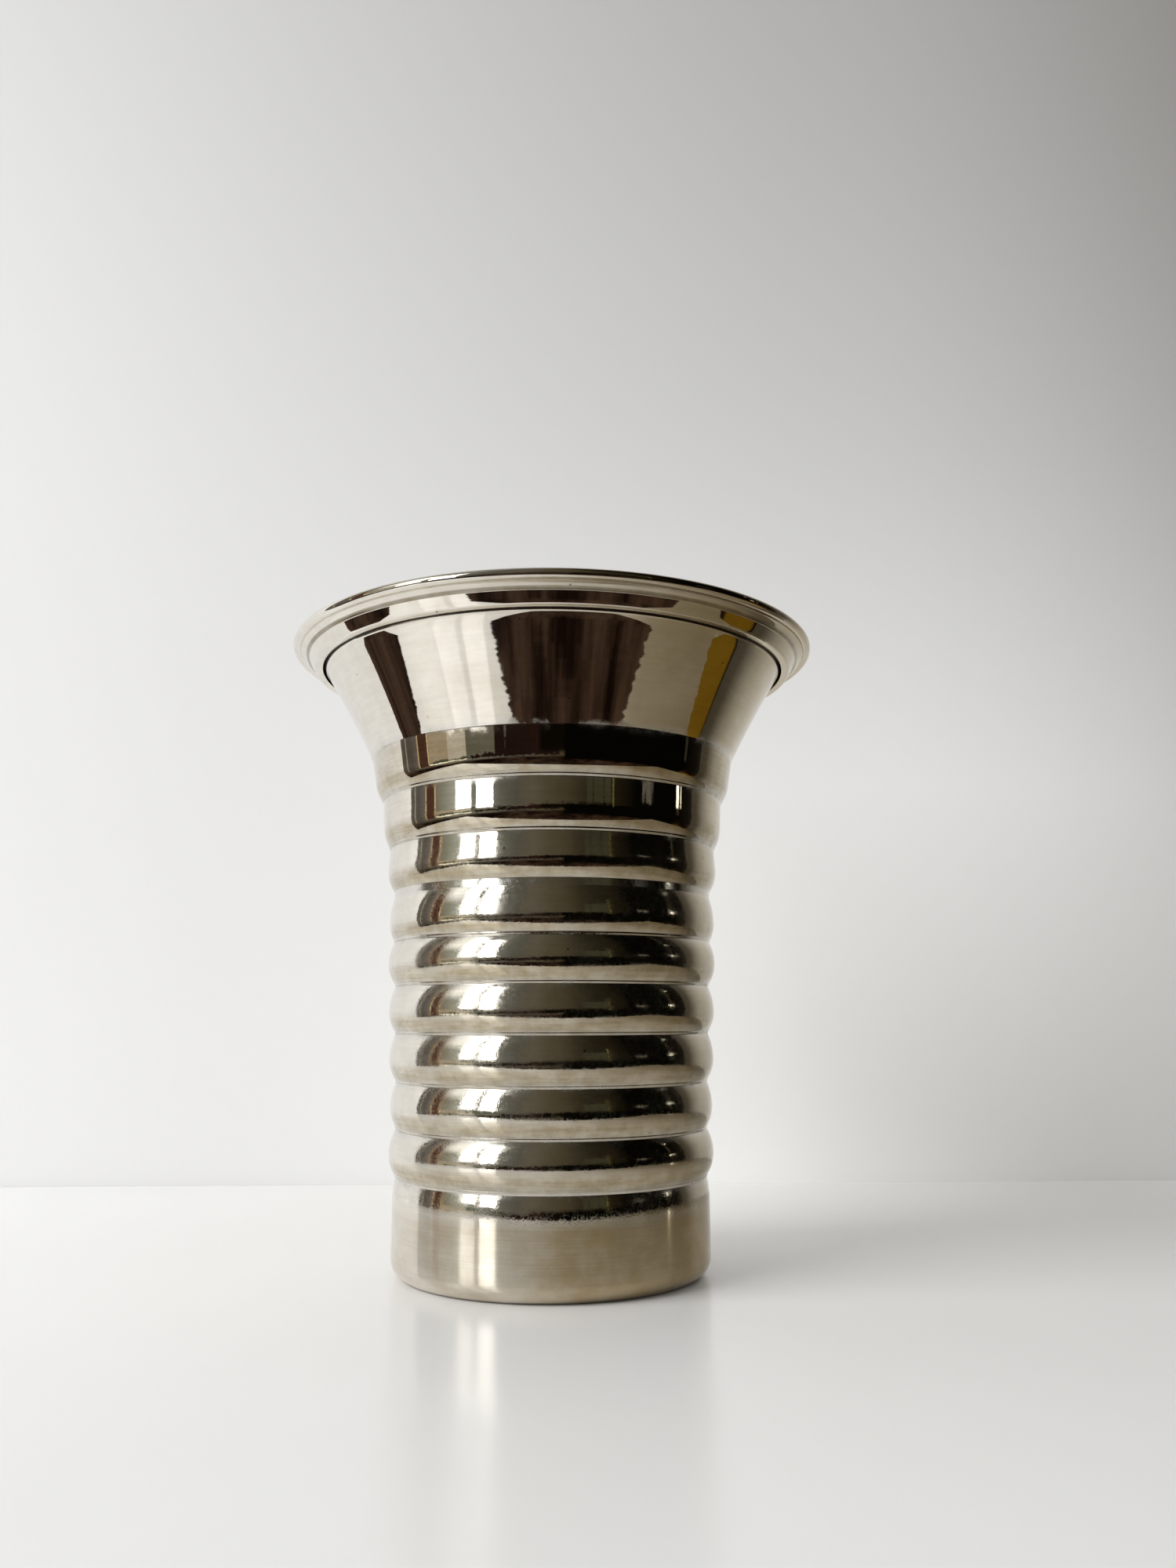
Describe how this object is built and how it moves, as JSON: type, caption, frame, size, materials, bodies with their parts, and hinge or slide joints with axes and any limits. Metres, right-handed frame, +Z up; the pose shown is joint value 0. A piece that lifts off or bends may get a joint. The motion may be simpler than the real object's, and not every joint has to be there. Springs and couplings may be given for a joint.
{
  "type": "trumpet vase",
  "caption": "Tall spun metal trumpet vase with a plain foot band, rolled horizontal ribs, a flared mouth and an applied hollow rim moulding.",
  "frame": {"origin": "centre of the flat ring that the vase stands on, at its lowest level", "axes": "+Z up along the axis of the vase, from foot to mouth; the vase is round, so X and Y are any two level directions"},
  "size_m": [0.195, 0.195, 0.2243],
  "materials": {
    "nickel_plate": "sheet brass with polished nickel plate, tarnished warm and finely scratched",
    "iron_wire": "plain drawn iron wire, closed inside the rim",
    "soft_solder": "dull grey tin solder, smooth fillet"
  },
  "bodies": {
    "root": {"body_shell": "nickel_plate", "rim_mount": "nickel_plate", "rim_wire": "iron_wire", "rim_solder": "soft_solder", "floor_disc": "nickel_plate", "floor_solder": "soft_solder"}
  },
  "joints": []
}
